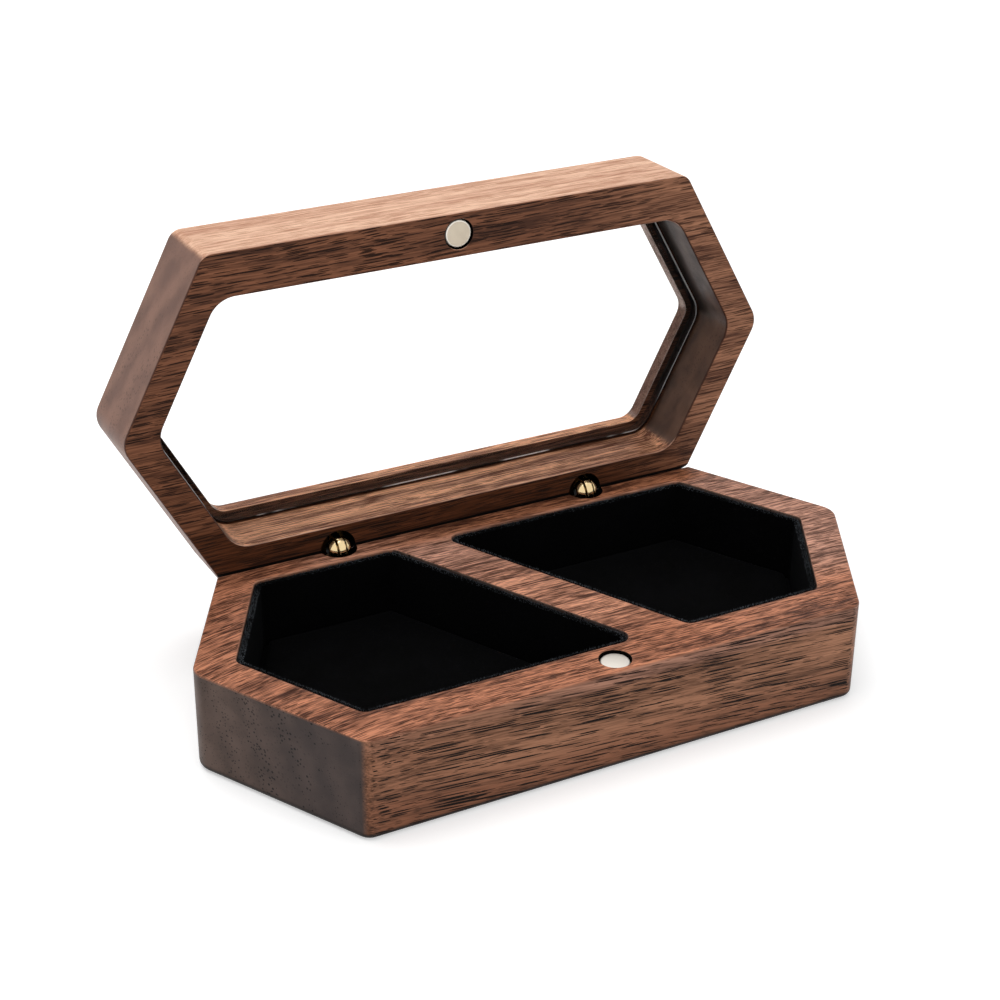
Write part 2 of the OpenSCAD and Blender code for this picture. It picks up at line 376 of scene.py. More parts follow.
class Graph:
    """Adds shader nodes to a material, a few words for each."""

    def __init__(self, tree):
        self.tree = tree
        tree.nodes.clear()

    def add(self, kind, inputs=None, **settings):
        node = self.tree.nodes.new("ShaderNode" + kind)
        for name, value in settings.items():
            setattr(node, name, value)
        for name, value in (inputs or {}).items():
            self.feed(node.inputs[name], value)
        return node

    def feed(self, socket, value):
        """Links another node's output to a socket, or sets the socket to a constant."""
        if isinstance(value, bpy.types.NodeSocket):
            self.tree.links.new(value, socket)
        else:
            socket.default_value = value

    def position(self):
        """Place on the object, in metres."""
        return self.add("TexCoord").outputs["Object"]

    def math(self, operation, a, b=0.0, clamp=False):
        node = self.add("Math", {0: a, 1: b}, operation=operation, use_clamp=clamp)
        return node.outputs[0]

    def times(self, product, *factors):
        for factor in factors:
            product = self.math("MULTIPLY", product, factor)
        return product

    def vector(self, operation, a, b=(0, 0, 0)):
        node = self.add("VectorMath", {0: a, 1: b}, operation=operation)
        return node.outputs["Value" if operation == "LENGTH" else "Vector"]

    def spread(self, value, low, high, to_low=0.0, to_high=1.0, smooth=True):
        """Maps low..high to to_low..to_high."""
        kind = "SMOOTHSTEP" if smooth else "LINEAR"
        names = {"Value": value, "From Min": low, "From Max": high, "To Min": to_low, "To Max": to_high}
        return self.add("MapRange", names, interpolation_type=kind).outputs["Result"]

    def noise(self, vector, scale, detail=2.0, roughness=0.5, output="Fac"):
        names = {"Vector": vector, "Scale": scale, "Detail": detail, "Roughness": roughness}
        return self.add("TexNoise", names).outputs[output]

    def mix(self, factor, a, b):
        node = self.add("Mix", data_type="RGBA")
        for index, value in ((0, factor), (6, a), (7, b)):
            self.feed(node.inputs[index], value)
        return node.outputs[2]

    def ramp(self, value, stops):
        """Colour ramp through (place, colour) stops."""
        node = self.add("ValToRGB", {"Fac": value})
        points = node.color_ramp.elements
        while len(points) < len(stops):
            points.new(0.5)
        for point, (at, colour) in zip(points, stops):
            point.position = at
            point.color = colour
        return node.outputs["Color"]

    def bump(self, height, strength, depth):
        """Relief of so many millimetres."""
        node = self.add("Bump", {"Height": height, "Strength": strength, "Distance": depth * MM})
        return node.outputs[0]

    def seen(self):
        """One for the rays by which a surface is seen, and nought for those by which it lights others."""
        rays = self.add("LightPath").outputs
        shown = self.math("ADD", rays["Is Camera Ray"], rays["Is Glossy Ray"])
        return self.math("ADD", shown, rays["Is Transmission Ray"], True)

    def surface(self, inputs):
        self.finish(self.add("BsdfPrincipled", inputs))

    def finish(self, shader, kind="OutputMaterial"):
        self.add(kind, {"Surface": shader.outputs[0]})


def srgb(red, green, blue):
    """Linear colour of a screen colour given from 0 to 255."""
    def linear(c):
        c /= 255
        return c / 12.92 if c <= 0.04045 else ((c + 0.055) / 1.055) ** 2.4
    return (linear(red), linear(green), linear(blue), 1.0)


def new_material(name):
    material = bpy.data.materials.new(name)
    material.use_nodes = True
    return material, Graph(material.node_tree)


# Where a tone of the wood, or a painted light or shade on it, shows. Each mask takes the graph, the way that
# the surface faces and the place in millimetres.

def upward(g, way, at):
    return g.spread(way["Z"], 0.55, 0.9)


def endwise(g, way, at):
    return g.spread(g.math("ABSOLUTE", way["X"]), 0.45, 0.8)


def tip_end(g, way, at):
    """Warmer end grain towards the box's points."""
    return g.times(endwise(g, way, at), g.spread(at["Y"], -22, -2))


def base_middle(g, way, at):
    """Paler wood of the bar and the rear rail."""
    return g.times(upward(g, way, at), g.spread(at["X"], -36, -24), g.spread(at["Y"], -22, -12))


def base_rear(g, way, at):
    """The palest wood, behind the pockets and at the right end."""
    there = g.math("ADD", g.spread(at["Y"], 2, 18), g.spread(at["X"], 30, 50), True)
    return g.times(base_middle(g, way, at), there)


def rear_rail_shade(g, way, at):
    """Painted shade and warm bounce light: darker, redder colour along the rear rail, which the open lid
    shades, most of all in its right half.
    """
    along = g.times(g.spread(at["X"], -40, 4, 0.2, 0.9), g.spread(at["X"], 44, 52, 1.0, 0.0))
    return g.times(upward(g, way, at), along, g.spread(at["Y"], 19.5, 22.5))


def frontward(g, way, at):
    return g.spread(way["Y"], -0.9, -0.6, 1.0, 0.0)


def lower_front(g, way, at):
    """Darker along the bottom of the base's front and towards its left end."""
    there = g.math("ADD", g.spread(at["Z"], 2, 10, 0.9, 0.0), g.spread(at["X"], -44, -14, 0.5, 0.0), True)
    return g.times(frontward(g, way, at), there)


def upper_front_sheen(g, way, at):
    """Painted sheen: greyer colour along the top of the base's front, which stands in for a reflection there.
    """
    return g.times(frontward(g, way, at), g.spread(at["Z"], 14.6, 16.2), g.spread(at["X"], -30, 0, 0.2, 0.9))


def bottom_arris_shadow(g, way, at):
    """Painted shadow on the rounded edge that the box stands on, where it meets the floor."""
    return g.spread(at["Z"], 0.8, 1.6, 1.0, 0.0)


# Faces on which the wood paints highlights and shade along its edges
def eased(g):
    return g.add("Attribute", attribute_name="eased").outputs["Fac"]


def base_edge_highlight(g, way, at):
    """Painted highlight on the rounded edges, fainter where they face the left end."""
    shown = g.math("MAXIMUM", g.spread(way["X"], -0.5, -0.2, 0.0, 0.6), g.spread(at["X"], -56, -40, 0.5, 0.0))
    return g.times(eased(g), shown)


def lid_edge_highlight(g, way, at):
    """Painted highlight on the rounded edges that face up or down when the lid is open."""
    return g.times(eased(g), g.spread(g.math("ABSOLUTE", way["Z"]), 0.5, 0.7, 0.0, 0.7))


def lid_side_edge_shade(g, way, at):
    """Painted shade: dark lines on the rounded edges of the slanted sides."""
    return g.times(eased(g), g.spread(g.math("ABSOLUTE", way["Z"]), 0.5, 0.7, 0.7, 0.0))


def joint_line(g, way, at):
    """Shade between base and lid, close to the axis on which they meet."""
    aside, above = g.math("SUBTRACT", at["Y"], HINGE_Y), g.math("SUBTRACT", at["Z"], HINGE_Z)
    reach = g.math("ADD", g.times(aside, aside), g.times(above, above))
    slanted = g.spread(g.math("ABSOLUTE", g.times(way["Y"], way["Z"])), 0.2, 0.4)
    return g.times(slanted, g.spread(reach, 1.3, 3.2, 1.0, 0.0))


def lit_lid_front_edge(g, way, at):
    """Painted light: paler colour on the long side that is uppermost when the lid is open, which the overhead
    light falls on most.
    """
    return g.times(upward(g, way, at), g.spread(at["Z"], 50, 62))


def behind_rim(g, at):
    """Depth behind the open lid's rim plane."""
    back = g.times(g.math("SUBTRACT", at["Y"], HINGE_Y), math.sin(OPEN_ANGLE))
    down = g.times(g.math("SUBTRACT", at["Z"], HINGE_Z), math.cos(OPEN_ANGLE))
    return g.math("ADD", back, down)


def inward(g, way, at):
    """Faces that look towards the middle of the window."""
    up = g.math("SUBTRACT", at["Z"], HINGE_Z + HINGE_Y)
    outwards = g.math("ADD", g.times(at["X"], way["X"]), g.times(up, way["Z"]))
    return g.spread(outwards, -8, -2, 1.0, 0.0)


def window_end(g, way, at):
    """End grain inside the window."""
    return g.times(inward(g, way, at), endwise(g, way, at))


def window_low_end(g, way, at):
    """Browner end grain on the lower wall inside the window."""
    return g.times(window_end(g, way, at), g.spread(way["Z"], -0.15, 0.15))


def window_depth(g, way, at):
    """Shade that gathers towards the pane on the end grain inside the window, mostly on its upper wall."""
    towards_pane = g.spread(behind_rim(g, at), 2.5, 9.0, 0.0, 0.92)
    return g.times(window_end(g, way, at), towards_pane, g.spread(way["Z"], -0.15, 0.15, 1.0, 0.4))


def pane_seat_shade(g, way, at):
    """Painted shade on the rabbet that the pane lies in."""
    depth = behind_rim(g, at)
    beside = g.times(g.spread(depth, 9.2, 9.5), g.spread(depth, 12.4, 12.5, 1.0, 0.0), inward(g, way, at))
    ledge = g.times(frontward(g, way, at), g.spread(depth, 8.0, 9.0))
    return g.math("ADD", beside, ledge, True)


def low_pane_seat(g, way, at):
    return g.times(pane_seat_shade(g, way, at), g.spread(at["Z"], 26, 31, 1.0, 0.0))


def lip_end(g, way, at):
    """End grain of the lip beyond the pane."""
    return g.times(window_end(g, way, at), g.spread(behind_rim(g, at), 12.5, 12.8))


def lip_low_end(g, way, at):
    return g.times(window_low_end(g, way, at), g.spread(behind_rim(g, at), 12.5, 12.8))


def hinge_rail_shade(g, way, at):
    """Painted shade on the rim beside the hinges, low on the open lid, just above the base."""
    along = g.spread(at["X"], 25, 50, 1.0, 0.3)
    return g.times(frontward(g, way, at), along, g.spread(at["Z"], 25.0, 27.5, 1.0, 0.0))


def right_half(g, way, at):
    return g.times(frontward(g, way, at), g.spread(at["X"], 15, 50))


class Tone:
    """Colours of the dark fibres, the light fibres and the open pores, and how strongly the pores show.

    End grain shows growth rings and dots in place of fibres, and a matt tone reflects nothing sharply."""

    def __init__(self, dark, light, pore, strength, where=None, end_grain=False, matt=False):
        self.dark, self.light, self.pore = srgb(*dark), srgb(*light), srgb(*pore)
        self.strength, self.where, self.end_grain, self.matt = strength, where, end_grain, matt


def walnut(name, tones, turn, bend, sway, pith, vessel):
    """Oiled walnut, its grain along X and its growth rings round a pith line outside the block.

    turn is how the grain leans about the Y and Z axes, bend how it curves near the left end, sway how far the
    fibres wander, pith where the pith line lies in Y and Z, vessel the longest pores' length and width."""
    material, g = new_material(name)
    coords = g.add("TexCoord").outputs
    point = g.add("Mapping", {"Vector": coords["Object"], "Scale": (1000, 1000, 1000)}).outputs[0]
    at = g.add("SeparateXYZ", {0: point}).outputs
    way = g.add("SeparateXYZ", {0: coords["Normal"]}).outputs
    leaning = g.add("Mapping", {"Vector": point, "Rotation": (0, *turn)}).outputs[0]
    from_end = g.math("MAXIMUM", g.math("SUBTRACT", -30.0, at["X"]), 0.0)
    curve = g.times(from_end, from_end, bend)
    leaning = g.vector("ADD", leaning, g.add("CombineXYZ", {"Y": curve}).outputs[0])

    def stretched(source, along, across):
        return g.vector("MULTIPLY", source, (1 / along, 1 / across, 1 / across))

    # The fibres wander a little across the grain
    wander = g.noise(stretched(leaning, 45, 12), 1.0, 2.0, output="Color")
    wander = g.vector("SUBTRACT", wander, (0.5, 0.5, 0.5))
    fibre = g.vector("ADD", leaning, g.vector("MULTIPLY", wander, (0, sway, sway)))

    # Growth rings: the early wood of each ring is a little darker, and pores crowd in it
    radius = g.vector("LENGTH", g.vector("SUBTRACT", g.vector("MULTIPLY", fibre, (0, 1, 1)), (0, *pith)))
    uneven = g.noise(stretched(leaning, 80, 8), 1.0, 2.0)
    rings = g.math("FRACT", g.math("ADD", g.math("DIVIDE", radius, RING_SPACING), g.times(uneven, 1.8)))
    early = g.times(g.spread(rings, 0.35, 0.7, 1.0, 0.0), g.spread(rings, 0.0, 0.08))
    patches = g.spread(g.noise(stretched(leaning, 22, 3.6), 1.0, 2.0), 0.36, 0.6)
    crowd = g.math("ADD", g.times(early, 0.5), g.times(patches, 0.5))
    crowd = g.math("ADD", crowd, 0.15, True)

    # Streaks of darker and lighter fibres, broad and fine
    broad = g.noise(stretched(fibre, 60, 4.5), 1.0, 2.0, 0.55)
    streak = g.noise(stretched(fibre, 26, 1.1), 1.0, 2.0, 0.6)
    fine = g.noise(stretched(fibre, 9, 0.28), 1.0, 2.0, 0.6)
    figure = g.math("ADD", g.times(broad, 0.5), g.times(streak, 0.55))
    figure = g.math("ADD", figure, g.times(fine, 0.9))
    figure = g.spread(g.math("SUBTRACT", figure, g.times(early, 0.06)), 0.78, 1.12, smooth=False)

    # Growth rings as end grain shows them: soft bands
    year = g.math("ADD", g.math("DIVIDE", radius, BAND_SPACING), g.times(uneven, 0.7))
    bands = g.math("ADD", g.times(g.math("PINGPONG", year, 0.5), 0.5), broad)
    bands = g.spread(bands, 0.3, 0.95)

    # Pores: long thin vessels along the grain, which end grain cuts to dots
    def pores(along, across, least, most, seed):
        moved = g.vector("ADD", stretched(fibre, along, across), (seed, seed, seed))
        cell = g.add("TexVoronoi", {"Vector": moved, "Scale": 1.0, "Randomness": 0.85})
        picked = g.add("SeparateColor", {0: cell.outputs["Color"]}).outputs[0]
        size = g.spread(picked, 0, 1, least, most, smooth=False)
        size = g.times(size, g.spread(crowd, 0, 1, 0.72, 1.0, smooth=False))
        return g.spread(g.math("DIVIDE", cell.outputs["Distance"], size), 0.9, 1.0, 1.0, 0.0)

    length, width = vessel
    long_pores = pores(length, width, 0.2, 0.43, 3.7)
    short_pores = pores(length / 2, 0.85 * width, 0.2, 0.43, 9.1)
    specks = g.times(pores(3.0, 0.27, 0.05, 0.42, 5.3), 0.6)
    vessels = g.math("MAXIMUM", g.math("MAXIMUM", long_pores, short_pores), specks)
    vessels = g.times(vessels, g.spread(g.math("ABSOLUTE", way["X"]), 0.1, 0.4, 1.0, 0.2))
    dots = pores(18.0, 0.55, 0.12, 0.4, 7.7)
    dots = g.times(dots, g.spread(g.math("FRACT", year), 0.4, 0.6, 1.0, 0.3))

    colour = None
    roughness = g.spread(vessels, 0.0, 1.0, 0.42, 0.7, smooth=False)
    for tone in tones:
        fibres, open_pores = (bands, dots) if tone.end_grain else (figure, vessels)
        wood = g.mix(fibres, tone.dark, tone.light)
        wood = g.mix(g.times(open_pores, tone.strength), wood, tone.pore)
        mask = tone.where(g, way, at) if tone.where else 1.0
        colour = g.mix(mask, colour, wood) if tone.where else wood
        if tone.matt:
            roughness = g.math("MAXIMUM", roughness, mask)
    height = g.math("SUBTRACT", g.times(fine, 0.2), vessels)
    g.surface({
        "Base Color": colour, "Roughness": roughness, "IOR": 1.45, "Specular IOR Level": 0.16,
        "Normal": g.bump(height, 0.5, 0.05)})
    return material


def hole_shade_walnut():
    """Painted shade inside the drilled holes: their wood walls are painted near black."""
    material, g = new_material("hole_shade_walnut")
    marks = g.noise(g.position(), 1500.0, 3.0, 0.6)
    g.surface({
        "Base Color": g.ramp(marks, [(0.3, srgb(5, 4, 3)), (0.7, srgb(15, 10, 7))]), "Roughness": 1.0,
        "Specular IOR Level": 0.03, "Normal": g.bump(marks, 0.5, 0.04)})
    return material


def metal(name, colour, roughness, grain):
    """Polished metal with fine marks; grain is how rough its marks make it."""
    material, g = new_material(name)
    marks = g.noise(g.position(), 2600.0, 4.0, 0.7)
    haze = g.noise(g.position(), 420.0, 2.0)
    rough = g.spread(haze, 0.3, 0.7, roughness, roughness + grain)
    rough = g.math("ADD", rough, g.times(marks, grain))
    dulled = tuple(0.8 * c for c in colour[:3]) + (1.0,)
    tint = g.mix(g.spread(haze, 0.35, 0.65, 0.0, 0.25), colour, dulled)
    g.surface({
        "Base Color": tint, "Metallic": 1.0, "Roughness": rough, "Normal": g.bump(marks, 0.15, 0.01)})
    return material


def velvet_pile(name, dark, light, sheen):
    """Black pile fabric: deep matt colour that brushing shades, and a soft sheen where it is seen edge on."""
    material, g = new_material(name)
    nap = g.noise(g.position(), 3600.0, 3.0, 0.7)
    brushed = g.noise(g.position(), 140.0, 3.0)
    shade = g.math("ADD", g.times(nap, 0.6), g.times(brushed, 0.4))
    g.surface({
        "Base Color": g.ramp(shade, [(0.4, dark), (0.62, light)]), "Roughness": 0.95,
        "Specular IOR Level": 0.05, "Normal": g.bump(nap, 0.9, 0.15),
        "Sheen Weight": sheen, "Sheen Roughness": 0.4, "Sheen Tint": srgb(170, 180, 200)})
    return material


def grey_card():
    """Dark grey board, which the velvet hides."""
    material, g = new_material("grey_card")
    fibres = g.noise(g.position(), 1800.0, 4.0, 0.7)
    g.surface({
        "Base Color": g.ramp(fibres, [(0.3, srgb(4, 4, 5)), (0.7, srgb(11, 11, 12))]), "Roughness": 1.0,
        "Specular IOR Level": 0.05, "Normal": g.bump(fibres, 0.4, 0.05)})
    return material


def clear_acrylic():
    material, g = new_material("clear_acrylic")
    smudge = g.spread(g.noise(g.position(), 60.0, 3.0), 0.4, 0.8, 0.0, 0.04)
    g.surface({
        "Base Color": (1, 1, 1, 1), "Roughness": smudge, "IOR": 1.49, "Specular IOR Level": 0.2,
        "Transmission Weight": 1.0})
    return material


def pane_edge_glint():
    """Broken front edge of the pane, left matt, with a painted glint: a thin bright line, painted dark along
    most of the lower side, which glints only in spots.
    """
    material, g = new_material("pane_edge_glint")
    coords = g.position()
    marks = g.noise(coords, 1200.0, 3.0, 0.6)
    bright = g.ramp(marks, [(0.3, srgb(205, 208, 210)), (0.7, srgb(244, 246, 247))])
    height = g.add("SeparateXYZ", {0: coords}).outputs["Z"]
    glint_spots = g.spread(g.noise(coords, 90.0, 2.0), 0.55, 0.62)
    glinting = g.math("MAXIMUM", g.spread(height, 26 * MM, 30 * MM), glint_spots)
    g.surface({"Base Color": g.mix(glinting, srgb(30, 26, 24), bright), "Roughness": 0.5, "IOR": 1.49})
    return material


def pane_side_shade():
    """Painted shade on the pane's side walls and rear broken edge, where the rabbet is in shade; lower down
    it turns to brown stripes like the rabbet's wood.
    """
    material, g = new_material("pane_side_shade")
    coords = g.position()
    skin = g.noise(coords, 900.0, 3.0, 0.6)
    colour = g.ramp(skin, [(0.3, srgb(8, 6, 5)), (0.7, srgb(24, 17, 13))])
    fibres = g.noise(g.vector("MULTIPLY", coords, (90, 2200, 2200)), 1.0, 3.0)
    wood_stripes = g.ramp(fibres, [(0.35, srgb(26, 15, 10)), (0.65, srgb(96, 60, 42))])
    height = g.add("SeparateXYZ", {0: coords}).outputs["Z"]
    colour = g.mix(g.spread(height, 25 * MM, 29 * MM, 0.9, 0.0), colour, wood_stripes)
    g.surface({
        "Base Color": colour, "Roughness": 0.6, "Specular IOR Level": 0.2, "Normal": g.bump(skin, 0.3, 0.04)})
    return material


def studio_white(name, colour, glow):
    """Pale ground that takes the object's shadow and shows white to the camera."""
    material, g = new_material(name)
    lit = g.add("BsdfDiffuse", {"Color": colour})
    glowing = g.add("Emission", {"Color": (1, 1, 1, 1), "Strength": g.times(g.seen(), glow)})
    g.finish(g.add("AddShader", {0: lit.outputs[0], 1: glowing.outputs[0]}))
    return material


# Pieces

def side_name(side):
    return "left" if side < 0 else "right"


def blank(height, far_round):
    """Six-sided block under the rim plane, cut back behind the hinge axis, where the open lid stops."""
    corners = [TIP_RADIUS, SIDE_CORNER_RADIUS, SIDE_CORNER_RADIUS] * 2
    bm = column(hexagon(0, 0), corners, BASE_HEIGHT - height, BASE_HEIGHT, far_round)
    slope = (OPEN_ANGLE + STOP_CLEARANCE) / 2
    way = Vector((0, math.sin(slope), math.cos(slope)))
    slice_off(bm, Vector((0, HINGE_Y, HINGE_Z)) - CHAMFER_RELIEF * way, way)
    bm.normal_update()
    upper_edges = [edge for edge in bm.edges if any(face.normal.z > 0.5 for face in edge.link_faces)]
    bmesh.ops.bevel(bm, geom=upper_edges, offset=RIM_ROUND, segments=4, profile=0.5, affect="EDGES",
                    clamp_overlap=False, material=-1)
    return bm


def hinge_casts():
    """Casts of one half of both hinge holes."""
    mouth, hole = HOLE_MOUTH_RADIUS, BARREL_RADIUS + BARREL_CLEARANCE
    floor, shoulder = -BARREL_SETBACK - BARREL_LENGTH, -BARREL_SETBACK
    profile = [(0, floor), (hole, floor), (hole, shoulder),
               (mouth, shoulder), (mouth, CUT_PAST), (0, CUT_PAST)]
    return [place(lathe(profile), Matrix.Translation((x, HINGE_Y, HINGE_Z))) for x in (-HINGE_X, HINGE_X)]


def magnet_cast(rim, recess):
    """Cast of a magnet's hole, its mouth eased; the ease ends a seam's height beyond the rim."""
    hole, seam = MAGNET_RADIUS + MAGNET_CLEARANCE, 0.003
    floor, mouth = -recess - MAGNET_THICKNESS, hole + MAGNET_HOLE_EASE
    profile = [(0, floor), (hole, floor), (hole, -MAGNET_HOLE_EASE),
               (mouth, seam), (mouth, CUT_PAST), (0, CUT_PAST)]
    return place(lathe(profile), Matrix.Translation((0, MAGNET_Y, rim)))


def darken_holes(block):
    """Gives the walls of the drilled holes the block's second material, the painted shade."""
    drilled = [(Vector((x, HINGE_Y)), HOLE_MOUTH_RADIUS) for x in (-HINGE_X, HINGE_X)]
    drilled.append((Vector((0, MAGNET_Y)), MAGNET_RADIUS + MAGNET_CLEARANCE))
    slack, rim_band = 0.02, 0.15
    for face in block.data.polygons:
        inside = any((face.center.xy - spot).length < radius + slack for spot, radius in drilled)
        face.material_index = int(inside and abs(face.center.z - BASE_HEIGHT) > rim_band)


def mark_eased_edges(block):
    """Marks the rounded edges of the rim, on which the wood paints highlights and shade."""
    bm = bmesh.new()
    bm.from_mesh(block.data)
    eased = bm.faces.layers.float.new("eased")
    lowest = BASE_HEIGHT - RIM_ROUND - 0.05
    for face in bm.faces:
        tilted = 0.1 < abs(face.normal.z) < 0.97
        face[eased] = float(tilted and face.calc_center_median().z > lowest)
    bm.to_mesh(block.data)
    bm.free()


def paint_pocket_mouth_highlights(block):
    """Marks a narrow band of painted highlight on the rim in front of each pocket and to its left."""
    bm = bmesh.new()
    bm.from_mesh(block.data)
    eased = bm.faces.layers.float["eased"]
    level, nearby, away, strength = 0.01, 1.0, Vector((0.5, 1)), 0.8
    rim = [f for f in bm.faces if f.normal.z > 0.999 and f.calc_center_median().z > BASE_HEIGHT - level]
    bands = bmesh.ops.inset_region(
        bm, faces=rim, thickness=MOUTH_HIGHLIGHT_BAND, use_even_offset=True, use_boundary=True)["faces"]
    for face in bands:
        spot = face.calc_center_median().xy
        for walls in (pocket_outline(-1), pocket_outline(1)):
            outwards = [direction(turn) for turn in facing(walls)]
            beyond = [out.dot(spot - corner) for out, corner in zip(outwards, walls)]
            at_wall = any(abs(past) < nearby and out.dot(away) < -0.2 for out, past in zip(outwards, beyond))
            if at_wall and max(beyond) < nearby:
                face[eased] = strength
    bm.to_mesh(block.data)
    bm.free()


def make_base(wood, hole_shade):
    block = put_down(blank(BASE_HEIGHT, UNDERSIDE_ROUND), "base_walnut")
    outlines = [pocket_outline(side) for side in (-1, 1)]
    pockets = [mouth_cutter(outline, POCKET_CORNER, POCKET_FLOOR, BASE_HEIGHT) for outline in outlines]
    carve(block, pockets + hinge_casts() + [magnet_cast(BASE_HEIGHT, MAGNET_RECESS)])
    darken_holes(block)
    mark_eased_edges(block)
    paint_pocket_mouth_highlights(block)
    finish_piece(block, "base", ["base_block"], [wood, hole_shade])


def make_lid(wood, hole_shade):
    """The lid is cut like the base, rim up, and then turned over and opened."""
    block = put_down(blank(LID_HEIGHT, LID_FACE_ROUND), "lid_walnut")
    window = hexagon(WINDOW_LONG_WALL, WINDOW_END_WALL)
    face = BASE_HEIGHT - LID_HEIGHT
    ledge = face + LIP_THICKNESS
    recess = mouth_cutter(window, WINDOW_CORNER, ledge, BASE_HEIGHT)
    opening = mouth_cutter(inset(window, LIP_WIDTH), WINDOW_CORNER - LIP_WIDTH, ledge + CUT_PAST, face)
    carve(block, [recess, opening] + hinge_casts() + [magnet_cast(BASE_HEIGHT, LID_MAGNET_RECESS)])
    darken_holes(block)
    mark_eased_edges(block)
    block.data.transform(opened() @ mirror_to_lid())
    block.data.flip_normals()
    finish_piece(block, "lid", ["lid_frame"], [wood, hole_shade])


def make_pane(acrylic, edge_glint, side_shade):
    """Clear plate. Its front broken edge is left matt and given a painted glint; its side walls and rear
    broken edge are given painted shade.
    """
    window = hexagon(WINDOW_LONG_WALL, WINDOW_END_WALL)
    bm = column(inset(window, PANE_CLEARANCE), WINDOW_CORNER - PANE_CLEARANCE,
                WINDOW_LEDGE - PANE_THICKNESS, WINDOW_LEDGE, PANE_BEVEL, PANE_BEVEL)
    bm.normal_update()
    upright, flat = 0.05, 0.995
    for face in bm.faces:
        front_edge = -flat < face.normal.z < -upright
        face.material_index = 1 if front_edge else 0 if abs(face.normal.z) > flat else 2
    pane = put_down(place(bm, opened()), "clear_window")
    finish_piece(pane, "lid", ["window_pane"], [acrylic, edge_glint, side_shade])


def make_wall_liner(side, velvet, nap):
    """Velvet round a pocket's walls, its upper edge turned over, with the nap that stands along that edge."""
    name = side_name(side)
    walls = pocket_outline(side)
    top = BASE_HEIGHT - VELVET_DROP
    bm = bmesh.new()
    loops = []
    for depth in (LINING_CLEARANCE, LINING_CLEARANCE + VELVET_THICKNESS):
        loops += ring(bm, inset(walls, depth), POCKET_CORNER - depth, POCKET_FLOOR)
    band = bmesh.ops.bridge_loops(bm, edges=loops)["faces"]
    grown = bmesh.ops.extrude_face_region(bm, geom=band)["geom"]
    raised = [g for g in grown if isinstance(g, bmesh.types.BMVert)]
    bmesh.ops.translate(bm, verts=raised, vec=UP * (top - POCKET_FLOOR))
    upper = [edge for edge in bm.edges if all(vert in raised for vert in edge.verts)]
    rims = [edge for edge in upper if any(abs(face.normal.z) < 0.5 for face in edge.link_faces)]
    bmesh.ops.bevel(bm, geom=rims, offset=VELVET_FOLD, segments=4, profile=0.5, affect="EDGES", material=-1)
    bmesh.ops.recalc_face_normals(bm, faces=bm.faces)
    edge = standing_nap(bm, top, 40 + side)
    liner = put_down(bm, name + "_wall_velvet")
    finish_piece(liner, "base", [name + "_wall_liner"], [velvet])
    fringe = put_down(edge, name + "_velvet_edge")
    finish_piece(fringe, "base", [name + "_wall_liner"], [nap])


def standing_nap(bm, top, seed):
    """Short pile that stands on the turned-over edge of the velvet, each tuft a thin spike."""
    rng = random.Random(seed)
    cone = bmesh.new()
    bmesh.ops.create_cone(cone, cap_ends=True, segments=3, radius1=NAP_RADIUS, radius2=0, depth=1,
                          matrix=Matrix.Translation((0, 0, 0.4)))
    spike = bpy.data.meshes.new("spike")
    cone.to_mesh(spike)
    cone.free()
    tufts = bmesh.new()
    for face in [f for f in bm.faces if f.calc_center_median().z > top - NAP_REACH]:
        corners = [vert.co for vert in face.verts]
        for _ in range(round(face.calc_area() * NAP_PER_MM2 + rng.random() - 0.5)):
            along, across = rng.random(), rng.random()
            lower = corners[0].lerp(corners[1], along)
            root = lower.lerp(corners[-1].lerp(corners[2 % len(corners)], along), across)
            lean = Vector((rng.gauss(0, NAP_STRAY), rng.gauss(0, NAP_STRAY), NAP_RISE))
            lean += face.normal * NAP_LEAN
            turn = lean.to_track_quat("Z", "Y").to_matrix().to_4x4()
            height = Matrix.Diagonal((1, 1, rng.uniform(*NAP_HEIGHT), 1))
            tuft = spike.copy()
            tuft.transform(Matrix.Translation(root) @ turn @ height)
            tufts.from_mesh(tuft)
            bpy.data.meshes.remove(tuft)
    bpy.data.meshes.remove(spike)
    return tufts


def remeshed(piece, voxel):
    """Evenly meshed closed skin over a piece."""
    remesh = piece.modifiers.new("even mesh", "REMESH")
    remesh.mode = "VOXEL"
    remesh.voxel_size = voxel
    settle(piece)


def stuff(pad, low):
    """Swells a pad as its wadding does, by cloth under pressure, at a scale that the solver handles well."""
    enlarge = 10 * MM
    pad.data.transform(Matrix.Scale(enlarge, 4))
    remeshed(pad, PAD_VOXEL * enlarge)
    start = [vert.co.copy() for vert in pad.data.vertices]
    cloth = pad.modifiers.new("velvet cover", "CLOTH")
    cloth.settings.use_pressure = True
    cloth.settings.uniform_pressure_force = PAD_PRESSURE
    cloth.settings.effector_weights.gravity = 0
    cloth.settings.quality = 6
    scene = bpy.context.scene
    for frame_number in range(1, PAD_FRAMES + 1):
        scene.frame_set(frame_number)
    settle(pad)
    scene.frame_set(1)
    cap = PAD_SWELL * enlarge
    for vert, old in zip(pad.data.vertices, start):
        moved = vert.co - old
        vert.co = old + moved * min(1, cap / max(moved.length, 1e-9))
        vert.co.z = max(vert.co.z, low * enlarge)
    pad.data.transform(Matrix.Scale(1 / enlarge, 4))


def make_floor_pad(side, velvet):
    """Pad that starts smaller than its place by its swell, which the stuffing fills."""
    name = side_name(side)
    depth = 2 * LINING_CLEARANCE + VELVET_THICKNESS + PAD_SWELL
    low = POCKET_FLOOR + CARD_THICKNESS
    high = low + PAD_THICKNESS - PAD_SWELL
    corner = max(POCKET_CORNER - depth, PAD_EDGE_ROUND)
    bm = column(inset(pocket_outline(side), depth), corner, low, high, PAD_EDGE_ROUND, PAD_FACE_ROUND)
    pad = put_down(bm, name + "_velvet_pad")
    stuff(pad, low)
    smoothing = pad.modifiers.new("soft surface", "SUBSURF")
    smoothing.levels = smoothing.render_levels = 1
    finish_piece(pad, "base", [name + "_floor_pad"], [velvet], 180)


